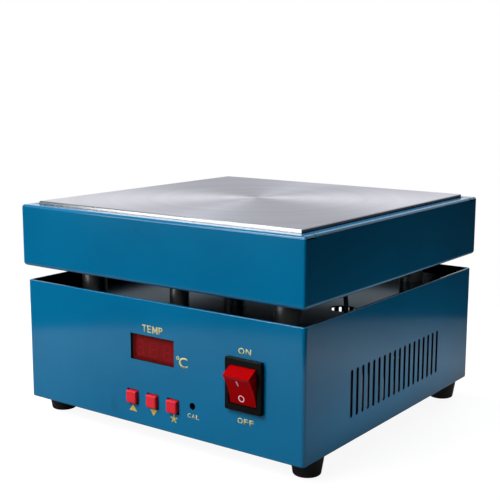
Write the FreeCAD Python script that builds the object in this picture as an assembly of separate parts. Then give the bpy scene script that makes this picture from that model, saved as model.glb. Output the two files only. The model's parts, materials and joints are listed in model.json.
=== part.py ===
import FreeCAD, Part
import math
import os

# Reflow hot plate: a heating plate in a folded tray, on four pillars above a control box.
# Millimetres. The front looks along -Y, +X is to the right and the feet stand on z = 0.

V = FreeCAD.Vector
RIGHT = V(1, 0, 0)
BACK = V(0, 1, 0)
FRONT = V(0, -1, 0)
UP = V(0, 0, 1)
DOWN = V(0, 0, -1)

# Clearances
pass_gap = 0.4
slide_gap = 0.3
thread_gap = 0.05
pivot_gap = 0.05

# Heating plate
plate_thick = 10.0
plate_proud = 2.0
plate_edge = 0.4
plate_tap_depth = 6.0

# Heater under the plate
heater_inset = 6.0
heater_thick = 1.0
clamp_thick = 1.5
insulation_inset = 7.0
insulation_thick = 10.0
heater_screw_inset = 18.0
terminal_y = -45.0
terminal_radius = 2.0
terminal_length = 21.0
terminal_end = 0.1

# Tray round the plate
tray_side = 216.2
tray_height = 39.5
tray_sheet = 1.2
tray_bend = 2.4
tray_corner = 1.5
lip_width = 7.1
lip_bend = 1.6
lip_gap = 1.0
side_lip_start = 10.6
seam_height = 0.8
seam_width = 1.2
seam_depth = 3.0

# Plate spacers in the tray
spacer_inset = 40.0
spacer_radius = 5.0
spacer_flange_radius = 9.0
spacer_flange_thick = 1.5

# Control box
base_width = 213.6
base_depth = 211.0
base_height = 78.3
base_sheet = 1.2
base_corner = 2.2
base_rim = 0.5
base_low_edge = 1.0
gap_height = 9.7
cover_sheet = 1.2
cover_rim_height = 8.0
cover_corner = 3.0

# Sunk sheet on top of the control box
shield_sink = 7.5
shield_sheet = 1.0
shield_skirt = 9.0
shield_corner = 3.0
lead_hole_radius = 7.9
lead_hole_inset = 24.0
lead_hole_y = -26.9

# Pillars
pillar_radius = 8.0
pillar_inset = 32.1
pillar_thread_depth = 7.0

# Feet
foot_height = 11.0
foot_top_radius = 9.8
foot_bottom_radius = 8.0
foot_edge = 1.2
foot_inset_x = 10.0
foot_inset_y = 19.2
foot_floor = 5.0

# Ventilation slots
vent_count = 18
vent_pitch = 6.52
vent_width = 2.8
vent_height = 28.7
vent_drop = 9.85
side_vent_y = 0.0
back_vent_x = 0.0

# Display
window_x = -0.9
window_drop = 29.6
window_width = 34.0
window_height = 16.0
filter_thick = 2.0
filter_border = 3.0
module_height = 8.0
module_border = 1.0

# Push buttons
key_x = -0.7
key_rise = 17.0
key_pitch = 15.85
key_side = 7.8
key_gap = 0.7
key_proud = 2.4
key_round = 0.9
key_travel = 0.5
key_stem_radius = 1.8
key_switch_side = 12.0
key_switch_height = 4.3
key_bore_depth = 2.5

# Trimmer behind its hole
trim_x = 29.8
trim_rise = 19.9
trim_hole_radius = 2.1
trim_side = 9.0
trim_height = 5.0
trim_rotor_radius = 1.7
trim_rotor_proud = 1.6
trim_rotor_depth = 2.2
trim_slot_width = 0.7
trim_slot_depth = 0.8

# Control board behind the front
board_x = 3.0
board_width = 86.0
board_room = 1.3
board_thick = 1.6
board_hole_inset = 5.0
standoff_radius = 3.0
chip_width = 14.0
chip_height = 10.0
chip_thick = 2.6
chip_x = -12.0
connector_side = 7.0
connector_length = 6.0
connector_x = 30.0
connector_drop = 8.5

# Rocker switch
switch_inset = 39.1
switch_lift = 0.65
bezel_border_x = 1.75
bezel_border_z = 1.1
bezel_thick = 2.6
bezel_corner = 1.0
bezel_edge = 0.6
housing_side_wall = 1.2
housing_end_wall = 2.8
housing_depth = 24.0
rocker_width = 17.8
rocker_side_gap = 0.8
rocker_radius = 11.0
rocker_end_angle = 31.0
rocker_mid = 4.2
rocker_back = 4.0
rocker_swing = 46.0
pivot_depth = 2.0
pivot_radius = 1.6
pivot_length = 1.4
blade_width = 6.3
blade_thick = 0.8
blade_length = 8.0
blade_spread_x = 5.0
blade_spread_z = 7.5

# Mains inlet in the back
inlet_inset = 26.8
inlet_flange_width = 24.0
inlet_flange_height = 50.0
inlet_flange_thick = 2.5
inlet_flange_corner = 4.0
inlet_body_width = 19.6
inlet_body_height = 27.4
inlet_body_depth = 22.0
inlet_socket_width = 16.4
inlet_socket_height = 24.4
inlet_socket_depth = 17.0
inlet_pin_width = 4.0
inlet_pin_thick = 2.0
inlet_pin_length = 12.0
inlet_pin_tail = 7.0
inlet_pin_spread = 7.0
inlet_pin_offset = 2.0
inlet_screw_inset = 5.0

# Power board on the bottom cover
power_side_room = 7.6
power_y = -10.0
power_width = 64.0
power_depth = 90.0
power_thick = 1.6
power_lift = 6.0
power_hole_inset = 5.0
core_limb = 6.0
core_window_height = 18.0
core_stack = 14.0
core_offset_x = 10.0
core_offset_y = 24.0
sink_wall = 3.0
sink_width = 34.0
sink_height = 36.0
sink_fin_count = 5
sink_fin_length = 10.0
sink_fin_thick = 1.5
sink_offset_x = -17.0
sink_offset_y = 0.0
triac_width = 10.0
triac_body_height = 9.0
triac_body_thick = 4.4
triac_tab_height = 6.5
triac_tab_thick = 1.3
triac_leg_length = 13.0
triac_leg_side = 0.8
triac_leg_pitch = 2.54
fuse_radius = 2.6
fuse_length = 20.0
fuse_offset_x = -14.0
fuse_room = 3.8
fuse_lift = 3.0
clip_length = 5.0
clip_wall = 0.6
block_width = 24.0
block_depth = 9.0
block_height = 11.0
block_offset_x = 6.0
block_way = 6.0
block_inset = 1.0

# Sleeve and leads
conduit_x = -4.0
conduit_inset = 29.5
conduit_radius = 6.0
conduit_wall = 1.8
conduit_head_radius = 8.5
conduit_head_thick = 1.6
conduit_tail = 6.0
heater_lead_radius = 1.5
heater_lead_spread = 1.9
heater_lead_bend = 7.0
heater_lead_straight = 1.0
probe_radius = 2.0
probe_depth = 7.0
probe_tail = 2.0
sensor_inset = 15.6
sensor_y = -30.0
sensor_hole_radius = 4.0
sensor_lead_drop = 2.0
sensor_lead_radius = 1.4

# Screws and nuts: shank radius, head radius, head height
m3 = (1.5, 2.8, 2.0)
m4 = (2.0, 3.5, 2.6)
m5 = (2.5, 4.5, 3.0)
nut_m4_flats = 7.0
nut_m4_height = 3.2
drive_radius_share = 0.45
drive_depth_share = 0.5
screw_tip_room = 1.0

# The tray holds the plate within its lip, and the plate's side sets what lies under it
plate_side = tray_side - 2 * (lip_width + lip_gap)
heater_side = plate_side - 2 * heater_inset
insulation_side = plate_side - 2 * insulation_inset
heater_screw_pitch = plate_side / 2 - heater_screw_inset
spacer_pitch = plate_side / 2 - spacer_inset
sensor_x = plate_side / 2 - sensor_inset
pillar_pitch = tray_side / 2 - pillar_inset
terminal_spread = 2 * heater_lead_bend + heater_lead_straight

# Levels
base_bottom = foot_height
base_middle = base_bottom + base_height / 2
base_top = base_bottom + base_height
tray_bottom = base_top + gap_height
tray_floor = tray_bottom + tray_sheet
tray_top = tray_bottom + tray_height
plate_top = tray_top + plate_proud
plate_bottom = plate_top - plate_thick
heater_bottom = plate_bottom - heater_thick
clamp_bottom = heater_bottom - clamp_thick
insulation_bottom = clamp_bottom - insulation_thick
shield_top = base_top - shield_sink
shield_bottom = shield_top - shield_sheet
cover_top = base_bottom + cover_sheet
power_bottom = cover_top + power_lift
power_top = power_bottom + power_thick
lead_height = heater_bottom - terminal_length + terminal_end + nut_m4_height / 2

# Places on the front, back and top of the control box, measured from its edges
window_z = base_top - window_drop
key_z = base_bottom + key_rise
trim_z = base_bottom + trim_rise
vent_z = base_middle - vent_drop
switch_x = base_width / 2 - switch_inset
switch_z = base_middle + switch_lift
inlet_x = inlet_inset - base_width / 2
lead_hole_x = base_width / 2 - lead_hole_inset
power_x = base_sheet + power_side_room + power_width / 2 - base_width / 2

# The switch housing is built round the rocker's cavity
cavity_width = rocker_width + 2 * rocker_side_gap
cavity_height = 2 * (rocker_radius + slide_gap)
housing_width = cavity_width + 2 * housing_side_wall
housing_height = cavity_height + 2 * housing_end_wall
bezel_width = housing_width + 2 * bezel_border_x
bezel_height = housing_height + 2 * bezel_border_z

# The control board and the inlet stand in the middle of the height between the two pans' rims
lower_rim = cover_top + cover_rim_height
upper_rim = shield_top - shield_skirt
board_height = upper_rim - lower_rim - 2 * board_room
board_z = (upper_rim + lower_rim) / 2
inlet_z = board_z
connector_z = board_z - connector_drop

# Planes from front to back
front_face = -base_depth / 2
front_inside = front_face + base_sheet
filter_back = front_inside + filter_thick
board_front = filter_back + slide_gap + module_height
board_back = board_front + board_thick
bezel_front = front_face - bezel_thick
pivot_y = bezel_front + pivot_depth
back_face = base_depth / 2
back_inside = back_face - base_sheet
conduit_y = front_face + conduit_inset

# The rocker's ridge and the tray's back are the furthest points, and the middle between them is y = 0
ridge_angle = math.radians(rocker_end_angle + rocker_swing / 2)
front_reach = rocker_radius * math.sin(ridge_angle) - pivot_y
back_reach = max(tray_side / 2, back_face + inlet_flange_thick)
to_frame = V(0, (front_reach - back_reach) / 2, 0)


def block(width, depth, height, x, y, z):
    """A box centred on x and y that stands on z."""
    return Part.makeBox(width, depth, height, V(x - width / 2, y - depth / 2, z))


def wall_block(width, height, x, z, y_from, y_to):
    """A box centred on x and z that runs from y_from back to y_to."""
    return Part.makeBox(width, y_to - y_from, height, V(x - width / 2, y_from, z - height / 2))


def rod(radius, length, x, y, z, along=UP):
    return Part.makeCylinder(radius, length, V(x, y, z), along)


def ring(radius, hole, length, x, y, z, along=UP):
    return rod(radius, length, x, y, z, along).cut(rod(hole, length, x, y, z, along))


def edges_along(shape, axis):
    """The straight edges of a shape that run along an axis."""
    found = []
    for edge in shape.Edges:
        run = edge.Vertexes[-1].Point - edge.Vertexes[0].Point
        if run.Length > 0 and run.cross(axis).Length < 1e-6 * run.Length:
            found.append(edge)
    return found


def edges_at(shape, height):
    """The edges of a shape that lie at one height."""
    found = []
    for edge in shape.Edges:
        box = edge.BoundBox
        if abs(box.ZMin - height) < 1e-4 and abs(box.ZMax - height) < 1e-4:
            found.append(edge)
    return found


def edges_in_plane(shape, y):
    """The edges of a shape that lie in one plane across Y."""
    found = []
    for edge in shape.Edges:
        box = edge.BoundBox
        if abs(box.YMin - y) < 1e-4 and abs(box.YMax - y) < 1e-4:
            found.append(edge)
    return found


def rounded(shape, radius, axis):
    return shape.makeFillet(radius, edges_along(shape, axis))


def aimed(shape, x, y, z, along):
    """A shape built along +Z, turned to an axis and moved into place."""
    turned = shape.copy()
    turned.Placement = FreeCAD.Placement(V(x, y, z), FreeCAD.Rotation(UP, along))
    return turned


def screw(size, length, x, y, z, along):
    """A pan-head screw with a round drive: its head stands on the point, facing along."""
    shank_radius, head_radius, head_height = size
    body = rod(head_radius, head_height, 0, 0, 0).fuse(rod(shank_radius, length, 0, 0, -length))
    drive_depth = head_height * drive_depth_share
    drive = rod(head_radius * drive_radius_share, drive_depth, 0, 0, head_height - drive_depth)
    return aimed(body.cut(drive).removeSplitter(), x, y, z, along)


def nut(flats, height, hole, x, y, z):
    """A hexagon nut with flats to the front and back."""
    corner = flats / 2 / math.cos(math.pi / 6)
    points = []
    for step in range(7):
        turn = math.radians(60 * step)
        points.append(V(x + corner * math.cos(turn), y + corner * math.sin(turn), z))
    body = Part.Face(Part.makePolygon(points)).extrude(V(0, 0, height))
    return body.cut(rod(hole, height, x, y, z))


def corners(x, y):
    """The four corners of a rectangle about the middle."""
    return [(side * x, end * y) for end in (-1, 1) for side in (-1, 1)]


def group(shapes):
    return Part.makeCompound(shapes)


def lead(points, radius, bends):
    """A round lead along straight runs joined by tangent arcs, one bend radius per inner point."""
    edges = []
    start = points[0]
    for before, here, after, bend in zip(points, points[1:], points[2:], bends):
        into = (here - before).normalize()
        out = (after - here).normalize()
        half_turn = into.getAngle(out) / 2
        reach = bend * math.tan(half_turn)
        first = here - into * reach
        last = here + out * reach
        inward = (out - into).normalize()
        middle = here + inward * (bend / math.cos(half_turn) - bend)
        edges.append(Part.LineSegment(start, first).toShape())
        edges.append(Part.Arc(first, middle, last).toShape())
        start = last
    edges.append(Part.LineSegment(start, points[-1]).toShape())
    path = Part.Wire(edges)
    section = Part.Wire([Part.makeCircle(radius, points[0], points[1] - points[0])])
    return path.makePipeShell([section], True, True)


def free_bends(points):
    """The largest bend at each inner point of a lead that nothing holds between its ends."""
    bends = []
    for before, here, after in zip(points, points[1:], points[2:]):
        into = here - before
        out = after - here
        shorter = min(into.Length, out.Length)
        bends.append(0.45 * shorter / math.tan(into.getAngle(out) / 2))
    return bends


# Heating plate and what lies under it
spacer_spots = corners(spacer_pitch, spacer_pitch)
pillar_spots = corners(pillar_pitch, pillar_pitch)
terminal_spots = [(conduit_x + side * terminal_spread, terminal_y) for side in (-1, 1)]
heater_screw_spots = corners(heater_screw_pitch, heater_screw_pitch)
heater_screw_spots += [(side * heater_screw_pitch, 0) for side in (-1, 1)]
heater_screw_spots += [(0, end * heater_screw_pitch) for end in (-1, 1)]
heater_screw_length = clamp_thick + heater_thick + plate_tap_depth - screw_tip_room


def heating_plate():
    plate = block(plate_side, plate_side, plate_thick, 0, 0, plate_bottom)
    plate = plate.makeChamfer(plate_edge, edges_at(plate, plate_top))
    holes = []
    for x, y in spacer_spots:
        holes.append(rod(m5[0] + thread_gap, plate_tap_depth, x, y, plate_bottom))
    for x, y in heater_screw_spots:
        holes.append(rod(m3[0] + thread_gap, plate_tap_depth, x, y, plate_bottom))
    holes.append(rod(probe_radius + thread_gap, probe_depth, sensor_x, sensor_y, plate_bottom))
    return plate.cut(holes)


def stack_layer(side, thick, z, screw_hole):
    """A square layer under the plate, with holes for spacers, screws and the sensor."""
    layer = block(side, side, thick, 0, 0, z)
    holes = []
    for x, y in spacer_spots:
        holes.append(rod(spacer_radius + pass_gap, thick, x, y, z))
    for x, y in heater_screw_spots:
        holes.append(rod(screw_hole, thick, x, y, z))
    holes.append(rod(probe_radius + pass_gap, thick, sensor_x, sensor_y, z))
    return layer.cut(holes)


def terminal_holes(thick, z):
    return [rod(terminal_radius + pass_gap, thick, x, y, z) for x, y in terminal_spots]


def heater_sheet():
    return stack_layer(heater_side, heater_thick, heater_bottom, m3[0] + pass_gap)


def heater_clamp_plate():
    layer = stack_layer(heater_side, clamp_thick, clamp_bottom, m3[0] + pass_gap)
    return layer.cut(terminal_holes(clamp_thick, clamp_bottom))


def insulation_board():
    layer = stack_layer(insulation_side, insulation_thick, insulation_bottom, m3[1] + pass_gap)
    return layer.cut(terminal_holes(insulation_thick, insulation_bottom))


def heater_screws():
    made = []
    for x, y in heater_screw_spots:
        made.append(screw(m3, heater_screw_length, x, y, clamp_bottom, DOWN))
    return group(made)


def heater_terminals():
    made = []
    for x, y in terminal_spots:
        made.append(rod(terminal_radius, terminal_length, x, y, heater_bottom - terminal_length))
    return group(made)


nut_z = lead_height - nut_m4_height / 2


def heater_terminal_nuts():
    made = []
    for x, y in terminal_spots:
        made.append(nut(nut_m4_flats, nut_m4_height, terminal_radius + thread_gap, x, y, nut_z))
    return group(made)


def plate_spacers():
    """Shouldered tubes: they carry the plate, and their flange holds the insulation up."""
    made = []
    for x, y in spacer_spots:
        tube = rod(spacer_radius, plate_bottom - tray_floor, x, y, tray_floor)
        flange_z = insulation_bottom - spacer_flange_thick
        flange = rod(spacer_flange_radius, spacer_flange_thick, x, y, flange_z)
        bore = rod(m5[0] + pass_gap, plate_bottom - tray_floor, x, y, tray_floor)
        made.append(tube.fuse(flange).cut(bore))
    return group(made)


def plate_screws():
    length = plate_bottom - tray_bottom + plate_tap_depth - screw_tip_room
    made = [screw(m5, length, x, y, tray_bottom, DOWN) for x, y in spacer_spots]
    return group(made)


# Tray
opening_side = plate_side + 2 * lip_gap
tray_inside = tray_side - 2 * tray_sheet


def lip_seams():
    """The slit under each end of the front and back lips, and the gap where a side lip starts."""
    half = tray_side / 2
    lip_inner = opening_side / 2
    slit_length = side_lip_start - tray_sheet
    cuts = []
    for side, end in corners(1, 1):
        x = side * (half + lip_inner) / 2
        width = half - lip_inner + 2 * tray_sheet
        y_slit = end * (half - tray_sheet - slit_length / 2)
        slit_x = side * half
        slit_z = tray_top - tray_sheet - seam_height
        cuts.append(block(2 * tray_sheet, slit_length, seam_height, slit_x, y_slit, slit_z))
        y_gap = end * (half - side_lip_start + seam_width / 2)
        cuts.append(block(width, seam_width, seam_depth, x, y_gap, tray_top - seam_depth))
    return cuts


def tray_shell():
    outer = block(tray_side, tray_side, tray_height, 0, 0, tray_bottom)
    outer = rounded(outer, tray_corner, UP)
    outer = outer.makeFillet(tray_bend, edges_at(outer, tray_bottom))
    outer = outer.makeFillet(lip_bend, edges_at(outer, tray_top))
    hollow = block(tray_inside, tray_inside, tray_height - 2 * tray_sheet, 0, 0, tray_floor)
    hollow = hollow.makeFillet(tray_bend - tray_sheet, edges_at(hollow, tray_floor))
    cuts = [hollow, block(opening_side, opening_side, tray_height, 0, 0, tray_floor)]
    for x, y in spacer_spots + pillar_spots:
        cuts.append(rod(m5[0] + pass_gap, tray_sheet, x, y, tray_bottom))
    cuts.append(rod(conduit_radius + pass_gap, tray_sheet, conduit_x, conduit_y, tray_bottom))
    cuts.append(rod(sensor_hole_radius, tray_sheet, sensor_x, sensor_y, tray_bottom))
    return outer.cut(cuts + lip_seams())


# Pillars
def pillar(x, y):
    length = tray_bottom - shield_top
    body = rod(pillar_radius, length, x, y, shield_top)
    thread = m5[0] + thread_gap
    lower = rod(thread, pillar_thread_depth, x, y, shield_top)
    upper = rod(thread, pillar_thread_depth, x, y, tray_bottom - pillar_thread_depth)
    return body.cut([lower, upper])


def pillar_screws():
    """Equal screws into both ends of each pillar, from the tray floor and from under the shield."""
    length = min(tray_sheet, shield_sheet) + pillar_thread_depth - screw_tip_room
    made = []
    for x, y in pillar_spots:
        made.append(screw(m5, length, x, y, tray_floor, UP))
        made.append(screw(m5, length, x, y, shield_bottom, DOWN))
    return group(made)


# Control box
base_inside_width = base_width - 2 * base_sheet
base_inside_depth = base_depth - 2 * base_sheet
key_spots = [key_x - key_pitch, key_x, key_x + key_pitch]
key_hole_side = key_side + 2 * key_gap
inlet_screw_reach = inlet_flange_height / 2 - inlet_screw_inset
inlet_screw_spots = [inlet_z - inlet_screw_reach, inlet_z + inlet_screw_reach]
cover_screw_spots = [-base_width / 4, 0, base_width / 4]
cover_screw_z = cover_top + cover_rim_height / 2


def vent_slot(at, along):
    """A round-ended upright slot through a wall at a point."""
    straight = vent_height - vent_width
    depth = 4 * base_sheet
    start = at - along * (depth / 2)
    across = along.cross(UP)
    low = start - across * (vent_width / 2) - UP * (straight / 2)
    face = Part.makePolygon([low, low + UP * straight, low + UP * straight + across * vent_width,
                             low + across * vent_width, low])
    shape = Part.Face(face).extrude(along * depth)
    for end in (-1, 1):
        centre = start + UP * (end * straight / 2)
        shape = shape.fuse(Part.makeCylinder(vent_width / 2, depth, centre, along))
    return shape


def vent_slots():
    made = []
    for step in range(vent_count):
        shift = (step - (vent_count - 1) / 2) * vent_pitch
        for side in (-1, 1):
            made.append(vent_slot(V(side * base_width / 2, side_vent_y + shift, vent_z), RIGHT))
        made.append(vent_slot(V(back_vent_x + shift, back_face, vent_z), BACK))
    return made


def front_cuts():
    through = front_inside + base_sheet
    cuts = [wall_block(window_width, window_height, window_x, window_z, front_face, through)]
    for x in key_spots:
        cuts.append(wall_block(key_hole_side, key_hole_side, x, key_z, front_face, through))
    cuts.append(rod(trim_hole_radius, 2 * base_sheet, trim_x, front_face, trim_z, BACK))
    cuts.append(wall_block(housing_width + pass_gap, housing_height + pass_gap, switch_x, switch_z,
                           front_face, through))
    return cuts


def back_cuts():
    start = back_inside - base_sheet
    cuts = [wall_block(inlet_body_width + pass_gap, inlet_body_height + pass_gap, inlet_x, inlet_z,
                       start, back_face)]
    for z in inlet_screw_spots:
        cuts.append(rod(m3[0] + thread_gap, 2 * base_sheet, inlet_x, start, z, BACK))
    for x in cover_screw_spots:
        cuts.append(rod(m3[0] + pass_gap, 2 * base_sheet, x, start, cover_screw_z, BACK))
    return cuts


def base_shell():
    outer = rounded(block(base_width, base_depth, base_height, 0, 0, base_bottom), base_corner, UP)
    outer = outer.makeFillet(base_rim, edges_at(outer, base_top))
    outer = outer.makeFillet(base_low_edge, edges_at(outer, base_bottom))
    hollow = block(base_inside_width, base_inside_depth, base_height, 0, 0, base_bottom)
    return outer.cut([hollow] + vent_slots() + front_cuts() + back_cuts())


def folded_pan(height, sheet, corner, floor_z, rim_z):
    """A pan inside the control box: a flat sheet at floor_z with a rim of the given height."""
    outer = rounded(block(base_inside_width, base_inside_depth, height, 0, 0, rim_z), corner, UP)
    hollow = block(base_inside_width - 2 * sheet, base_inside_depth - 2 * sheet, height - sheet,
                   0, 0, floor_z)
    return outer.cut(hollow)


def heat_shield():
    pan = folded_pan(shield_skirt, shield_sheet, shield_corner, shield_top - shield_skirt,
                     shield_top - shield_skirt)
    cuts = [rod(lead_hole_radius, shield_sheet, lead_hole_x, lead_hole_y, shield_bottom)]
    cuts.append(rod(conduit_radius + pass_gap, shield_sheet, conduit_x, conduit_y, shield_bottom))
    for x, y in pillar_spots:
        cuts.append(rod(m5[0] + pass_gap, shield_sheet, x, y, shield_bottom))
    return pan.cut(cuts)


foot_spots = corners(base_width / 2 - foot_inset_x, base_depth / 2 - foot_inset_y)
power_spots = [(power_x + x, power_y + y) for x, y in
               corners(power_width / 2 - power_hole_inset, power_depth / 2 - power_hole_inset)]


def bottom_cover():
    pan = folded_pan(cover_sheet + cover_rim_height, cover_sheet, cover_corner, cover_top, base_bottom)
    cuts = []
    for x, y in foot_spots:
        cuts.append(rod(m4[0] + pass_gap, cover_sheet, x, y, base_bottom))
    for x in cover_screw_spots:
        start = back_inside - cover_sheet
        cuts.append(rod(m3[0] + thread_gap, cover_sheet, x, start, cover_screw_z, BACK))
    return pan.cut(cuts)


def cover_screws():
    length = base_sheet + 3 * cover_sheet
    return group([screw(m3, length, x, back_face, cover_screw_z, BACK) for x in cover_screw_spots])


def foot(x, y):
    body = Part.makeCone(foot_bottom_radius, foot_top_radius, foot_height, V(x, y, 0))
    body = body.makeFillet(foot_edge, edges_at(body, 0))
    recess = rod(m4[1] + pass_gap, foot_height - foot_floor, x, y, 0)
    return body.cut([recess, rod(m4[0] + pass_gap, foot_height, x, y, 0)])


def foot_screws():
    length = foot_floor + cover_sheet + nut_m4_height + screw_tip_room
    seat = foot_height - foot_floor
    return group([screw(m4, length, x, y, seat, DOWN) for x, y in foot_spots])


def foot_nuts():
    hole = m4[0] + thread_gap
    return group([nut(nut_m4_flats, nut_m4_height, hole, x, y, cover_top) for x, y in foot_spots])


# Front panel pieces
def display_filter():
    width = window_width + 2 * filter_border
    height = window_height + 2 * filter_border
    return wall_block(width, height, window_x, window_z, front_inside, filter_back)


def display_module():
    width = window_width - 2 * module_border
    height = window_height - 2 * module_border
    body = wall_block(width, height, window_x, window_z, filter_back + slide_gap, board_front)
    return rounded(body, module_border, BACK)


key_bore_floor = board_front - key_switch_height + key_bore_depth


def key_switch(x):
    body = wall_block(key_switch_side, key_switch_side, x, key_z, board_front - key_switch_height,
                      board_front)
    bore = rod(key_stem_radius + slide_gap, key_bore_depth, x, key_bore_floor, key_z, FRONT)
    return body.cut(bore)


def button(x):
    """A square cap with a round stem that reaches into its key switch."""
    cap = wall_block(key_side, key_side, x, key_z, front_face - key_proud, front_inside + slide_gap)
    cap = rounded(cap, key_round, BACK)
    cap = cap.makeFillet(key_round, edges_in_plane(cap, front_face - key_proud))
    stem_start = front_inside + slide_gap
    stem_end = key_bore_floor - key_travel - slide_gap
    stem = rod(key_stem_radius, stem_end - stem_start, x, stem_start, key_z, BACK)
    return cap.fuse(stem)


trim_front = board_front - trim_height


def trim_pot_body():
    body = wall_block(trim_side, trim_side, trim_x, trim_z, trim_front, board_front)
    bore = rod(trim_rotor_radius + pivot_gap, trim_rotor_depth, trim_x, trim_front, trim_z, BACK)
    return body.cut(bore)


def trim_pot_rotor():
    start = trim_front - trim_rotor_proud
    length = trim_rotor_proud + trim_rotor_depth
    rotor = rod(trim_rotor_radius, length, trim_x, start, trim_z, BACK)
    slot = wall_block(trim_slot_width, 2 * trim_rotor_radius, trim_x, trim_z, start,
                      start + trim_slot_depth)
    return rotor.cut(slot)


standoff_spots = [(board_x + x, board_z + z) for x, z in
                  corners(board_width / 2 - board_hole_inset, board_height / 2 - board_hole_inset)]


def control_board():
    board = wall_block(board_width, board_height, board_x, board_z, board_front, board_back)
    holes = []
    for x, z in standoff_spots:
        holes.append(rod(m3[0] + pass_gap, board_thick, x, board_front, z, BACK))
    return board.cut(holes)


def board_standoffs():
    made = []
    hole = m3[0] + thread_gap
    for x, z in standoff_spots:
        made.append(ring(standoff_radius, hole, board_front - front_inside, x, front_inside, z, BACK))
    return group(made)


def board_screws():
    """Equal screws that hold both boards on their standoffs."""
    length = min(board_thick + board_front - front_inside, power_thick + power_lift) - screw_tip_room
    made = [screw(m3, length, x, board_back, z, BACK) for x, z in standoff_spots]
    made += [screw(m3, length, x, y, power_top, UP) for x, y in power_spots]
    return group(made)


def controller_chip():
    return wall_block(chip_width, chip_height, board_x + chip_x, board_z, board_back,
                      board_back + chip_thick)


def sensor_connector():
    return wall_block(connector_side, connector_side, connector_x, connector_z, board_back,
                      board_back + connector_length)


# Rocker switch
rear_corner = math.sqrt(rocker_radius ** 2 - rocker_back ** 2)
half_swing = math.radians(rocker_swing / 2)
rocker_sweep = rear_corner * math.sin(half_swing) + rocker_back * math.cos(half_swing)
cavity_depth = pivot_depth + rocker_sweep + slide_gap


def switch_housing():
    bezel = wall_block(bezel_width, bezel_height, switch_x, switch_z, bezel_front, front_face)
    bezel = rounded(bezel, bezel_corner, BACK)
    bezel = bezel.makeFillet(bezel_edge, edges_in_plane(bezel, bezel_front))
    body = wall_block(housing_width, housing_height, switch_x, switch_z, front_face,
                      front_face + housing_depth)
    cavity = wall_block(cavity_width, cavity_height, switch_x, switch_z, bezel_front,
                        bezel_front + cavity_depth)
    reach = rocker_width + 2 * (pivot_length + slide_gap)
    bearing = rod(pivot_radius + pivot_gap, reach, switch_x - reach / 2, pivot_y, switch_z, RIGHT)
    return bezel.fuse(body).cut([cavity, bearing])


def rocker_point(rise, out):
    return V(switch_x - rocker_width / 2, pivot_y - out, switch_z + rise)


def switch_rocker():
    """The rocker, shown switched off: its upper end stands out and its lower end is pressed in.

    Each end is flat from the ridge to where it enters the bezel while it stands out.
    """
    end = math.radians(rocker_end_angle)
    ridge = (rocker_radius * math.cos(end), rocker_radius * math.sin(end))
    entry_angle = half_swing - math.asin(pivot_depth / rocker_radius)
    entry = (rocker_radius * math.cos(entry_angle), -rocker_radius * math.sin(entry_angle))
    rear = (rear_corner, -rocker_back)
    upper = [rocker_point(rise, out) for rise, out in (rear, entry, ridge)]
    lower = [rocker_point(-rise, out) for rise, out in (ridge, entry, rear)]
    edges = [Part.Arc(upper[-1], rocker_point(0, rocker_mid), lower[0]).toShape()]
    around = lower + upper
    for start, stop in zip(around, around[1:]):
        edges.append(Part.LineSegment(start, stop).toShape())
    body = Part.Face(Part.Wire(edges)).extrude(V(rocker_width, 0, 0))
    reach = rocker_width + 2 * pivot_length
    body = body.fuse(rod(pivot_radius, reach, switch_x - reach / 2, pivot_y, switch_z, RIGHT))
    body.rotate(V(switch_x, pivot_y, switch_z), RIGHT, rocker_swing / 2)
    return body


def switch_terminals():
    start = front_face + housing_depth
    made = []
    for x, z in corners(blade_spread_x, blade_spread_z):
        made.append(wall_block(blade_width, blade_thick, switch_x + x, switch_z + z, start,
                               start + blade_length))
    return group(made)


# Mains inlet
socket_floor = back_face + inlet_flange_thick - inlet_socket_depth
inlet_rear = back_face - inlet_body_depth
pin_places = [(-inlet_pin_offset, -inlet_pin_spread), (-inlet_pin_offset, inlet_pin_spread),
              (inlet_pin_offset, 0)]


def inlet_pin_blades():
    made = []
    for x, z in pin_places:
        made.append(wall_block(inlet_pin_width, inlet_pin_thick, inlet_x + x, inlet_z + z,
                               inlet_rear - inlet_pin_tail, socket_floor + inlet_pin_length))
    return made


def inlet_pins():
    return group(inlet_pin_blades())


def inlet_housing():
    outside = back_face + inlet_flange_thick
    flange = wall_block(inlet_flange_width, inlet_flange_height, inlet_x, inlet_z, back_face, outside)
    flange = rounded(flange, inlet_flange_corner, BACK)
    body = wall_block(inlet_body_width, inlet_body_height, inlet_x, inlet_z, inlet_rear, back_face)
    socket = wall_block(inlet_socket_width, inlet_socket_height, inlet_x, inlet_z, socket_floor, outside)
    cuts = [socket] + inlet_pin_blades()
    for z in inlet_screw_spots:
        cuts.append(rod(m3[0] + pass_gap, inlet_flange_thick, inlet_x, back_face, z, BACK))
        cuts.append(rod(m3[1] + pass_gap, m3[2], inlet_x, outside - m3[2], z, BACK))
    return flange.fuse(body).cut(cuts)


def inlet_screws():
    seat = back_face + inlet_flange_thick - m3[2]
    length = inlet_flange_thick - m3[2] + 3 * base_sheet
    return group([screw(m3, length, inlet_x, seat, z, BACK) for z in inlet_screw_spots])


# Power board
def power_board():
    board = block(power_width, power_depth, power_thick, power_x, power_y, power_bottom)
    return board.cut([rod(m3[0] + pass_gap, power_thick, x, y, power_bottom) for x, y in power_spots])


def power_standoffs():
    hole = m3[0] + thread_gap
    return group([ring(standoff_radius, hole, power_lift, x, y, cover_top) for x, y in power_spots])


core_x = power_x + core_offset_x
core_y = power_y + core_offset_y
core_width = 6 * core_limb
core_height = core_window_height + 2 * core_limb
window_bottom = power_top + core_limb


def transformer_core():
    """A stacked core with a double-width middle limb between two windows."""
    core = block(core_width, core_stack, core_height, core_x, core_y, power_top)
    windows = []
    for side in (-1, 1):
        x = core_x + side * 1.5 * core_limb
        windows.append(block(core_limb, core_stack, core_window_height, x, core_y, window_bottom))
    return core.cut(windows)


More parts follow.
